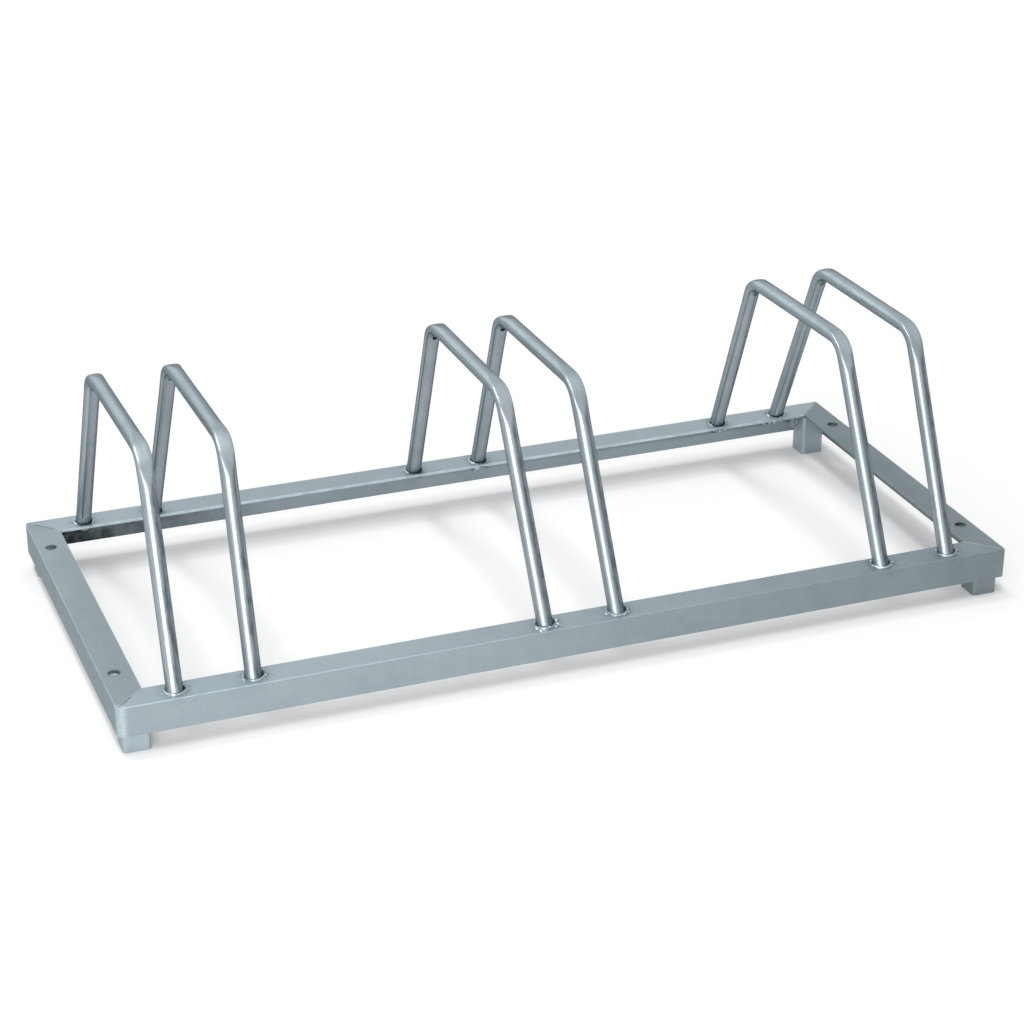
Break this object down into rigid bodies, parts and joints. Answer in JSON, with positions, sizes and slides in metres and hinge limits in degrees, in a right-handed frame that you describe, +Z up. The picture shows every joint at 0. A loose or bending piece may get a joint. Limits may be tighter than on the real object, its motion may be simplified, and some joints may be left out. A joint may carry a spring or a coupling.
{
  "type": "floor bike rack",
  "caption": "Floor-standing bicycle rack: a low frame of steel angle on stub feet, with pairs of bent tube hoops that hold wheels upright between them.",
  "frame": {"origin": "on the floor, under the middle of the rack", "axes": "+X along the rack to the right, +Y across it to the back, +Z up"},
  "size_m": [1.05, 0.48, 0.301],
  "materials": {
    "frame_steel": "hot-dip galvanised, dull and faintly mottled, on rolled steel angle",
    "hoop_steel": "hot-dip galvanised, satin with lengthwise streaks, on round steel tube",
    "foot_steel": "hot-dip galvanised, dull, on square steel tube",
    "weld_metal": "weld metal under zinc, rough round the legs and ground flush at the corners"
  },
  "bodies": {
    "root": {"corner_weld_far_left": "weld_metal", "corner_weld_far_right": "weld_metal", "corner_weld_near_left": "weld_metal", "corner_weld_near_right": "weld_metal", "far_leg_weld_1": "weld_metal", "far_leg_weld_2": "weld_metal", "far_leg_weld_3": "weld_metal", "far_leg_weld_4": "weld_metal", "far_leg_weld_5": "weld_metal", "far_leg_weld_6": "weld_metal", "far_rail": "frame_steel", "foot_far_left": "foot_steel", "foot_far_right": "foot_steel", "foot_near_left": "foot_steel", "foot_near_right": "foot_steel", "foot_weld_far_left": "weld_metal", "foot_weld_far_right": "weld_metal", "foot_weld_near_left": "weld_metal", "foot_weld_near_right": "weld_metal", "hoop_1": "hoop_steel", "hoop_2": "hoop_steel", "hoop_3": "hoop_steel", "hoop_4": "hoop_steel", "hoop_5": "hoop_steel", "hoop_6": "hoop_steel", "left_rail": "frame_steel", "near_leg_weld_1": "weld_metal", "near_leg_weld_2": "weld_metal", "near_leg_weld_3": "weld_metal", "near_leg_weld_4": "weld_metal", "near_leg_weld_5": "weld_metal", "near_leg_weld_6": "weld_metal", "near_rail": "frame_steel", "right_rail": "frame_steel"}
  },
  "joints": []
}
